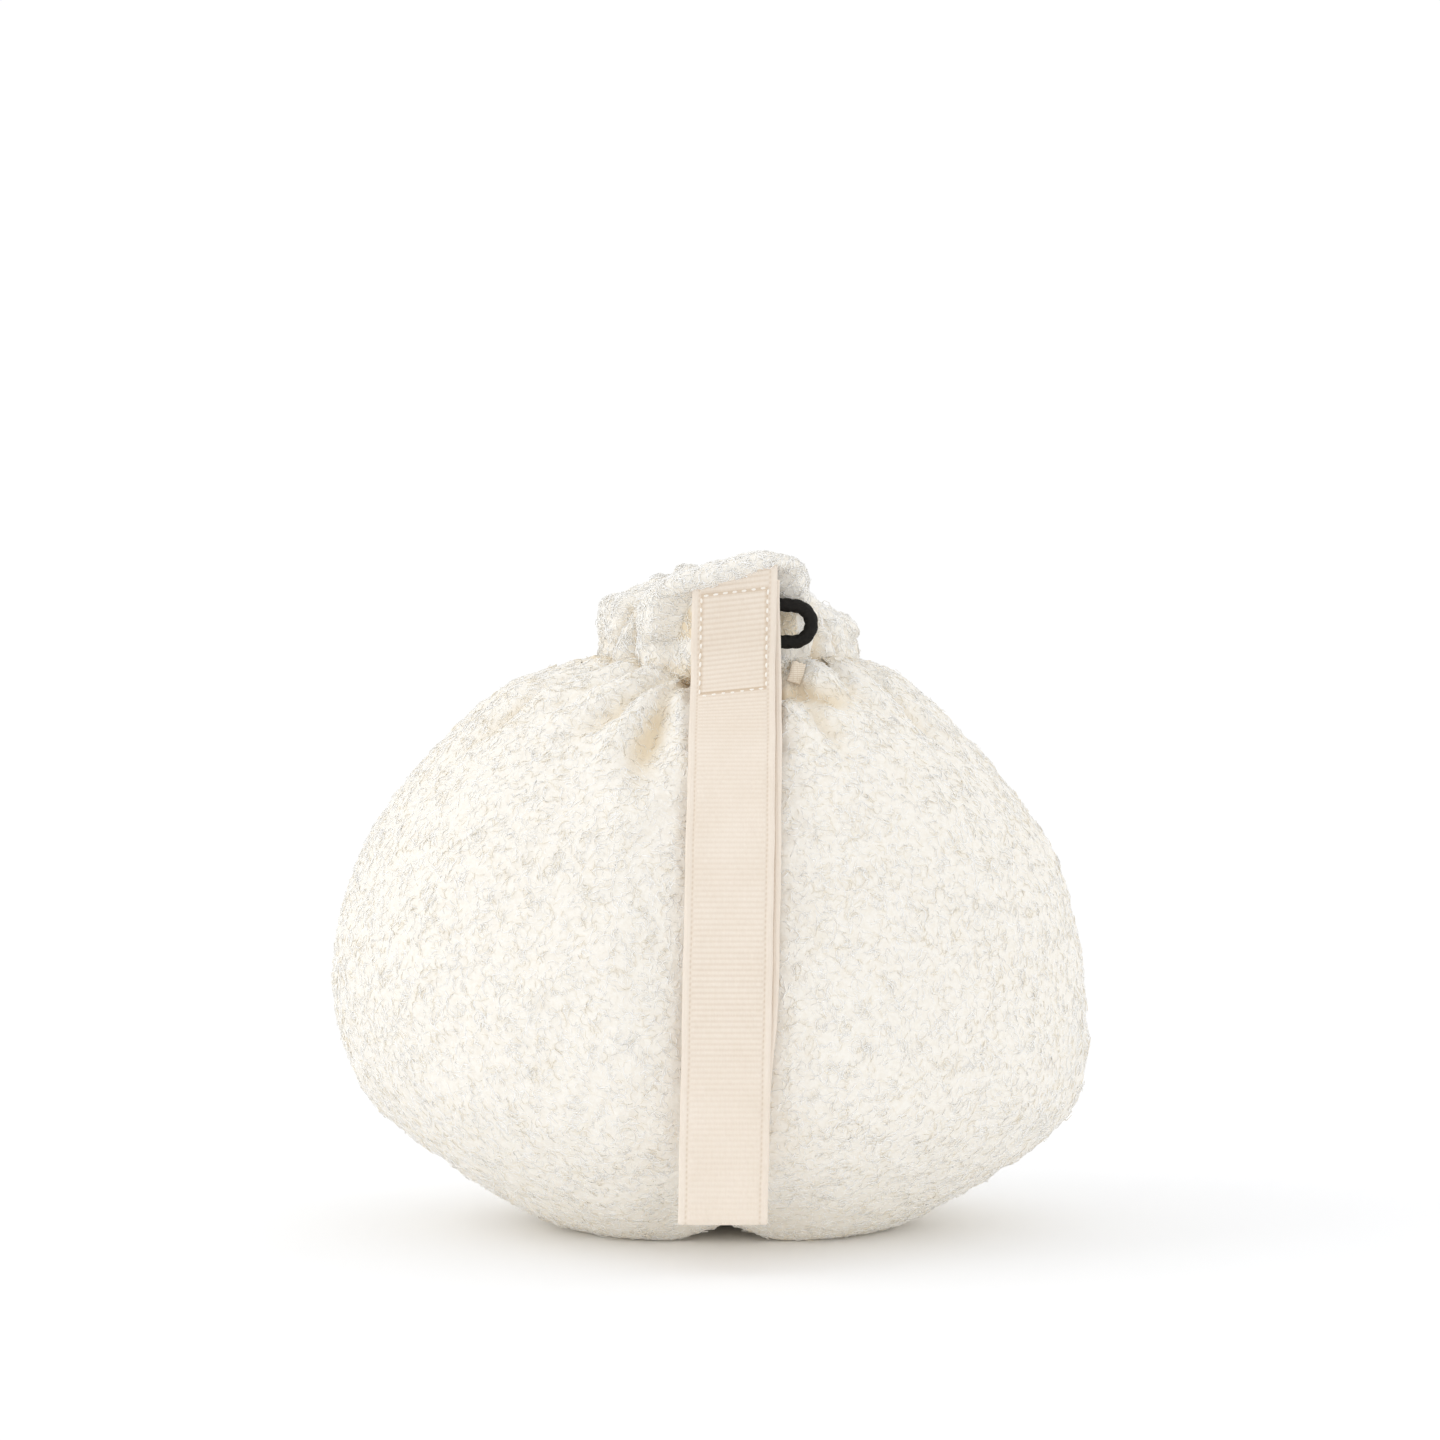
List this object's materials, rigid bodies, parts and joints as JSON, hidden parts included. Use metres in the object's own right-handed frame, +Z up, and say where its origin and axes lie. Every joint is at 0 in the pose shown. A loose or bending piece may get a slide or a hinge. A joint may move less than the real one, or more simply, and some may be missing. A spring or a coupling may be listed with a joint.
{
  "type": "herbal compress ball",
  "caption": "Plush drawstring pouch round a tied herb sachet, gathered at the neck by an elastic cord, with a doubled ribbon hand strap sewn to its collar.",
  "frame": {"origin": "on the surface that the ball rests on, under the middle of its bounding box", "axes": "+Z up through the neck, -Y out of the front that carries the strap, +X to the right seen from the front"},
  "size_m": [0.1678, 0.1444, 0.1472],
  "materials": {
    "plush": "short curly ivory pile, matt",
    "muslin": "plain-woven unbleached cotton",
    "herbs": "dry, loose chopped plant pieces",
    "ribbon": "cross-ribbed grosgrain, slight sheen",
    "tape": "flat woven cotton tape",
    "cord": "black braided cover over elastic",
    "thread": "spun polyester sewing thread"
  },
  "bodies": {
    "pouch": {"cover_left_panel": "plush", "cover_right_panel": "plush", "collar_ruffle": "plush", "seam_thread": "thread", "herb_sachet": "muslin", "sachet_tie": "thread", "herb_filling": "herbs", "casing_tape": "tape", "casing_thread_lower": "thread", "casing_thread_upper": "thread", "drawstring": "cord", "drawstring_knot": "cord", "strap_sewn_end_front": "ribbon", "strap_sewn_end_back": "ribbon", "box_stitch_thread": "thread"},
    "hand_strap": {"hand_strap_loop": "ribbon"},
    "pull_loop": {"pull_loop": "cord"}
  },
  "joints": [
    {"name": "strap_swing", "type": "hinge", "parent": "pouch", "child": "hand_strap", "pos_m": [0.005, -0.03984, 0.11597], "axis": [-1, 0, 0], "range_deg": [0, 130]},
    {"name": "pull_loop_draw", "type": "slide", "parent": "pouch", "child": "pull_loop", "axis": [1, 0, 0], "range_m": [0, 0.009], "stiffness_N_per_m": 60}
  ]
}
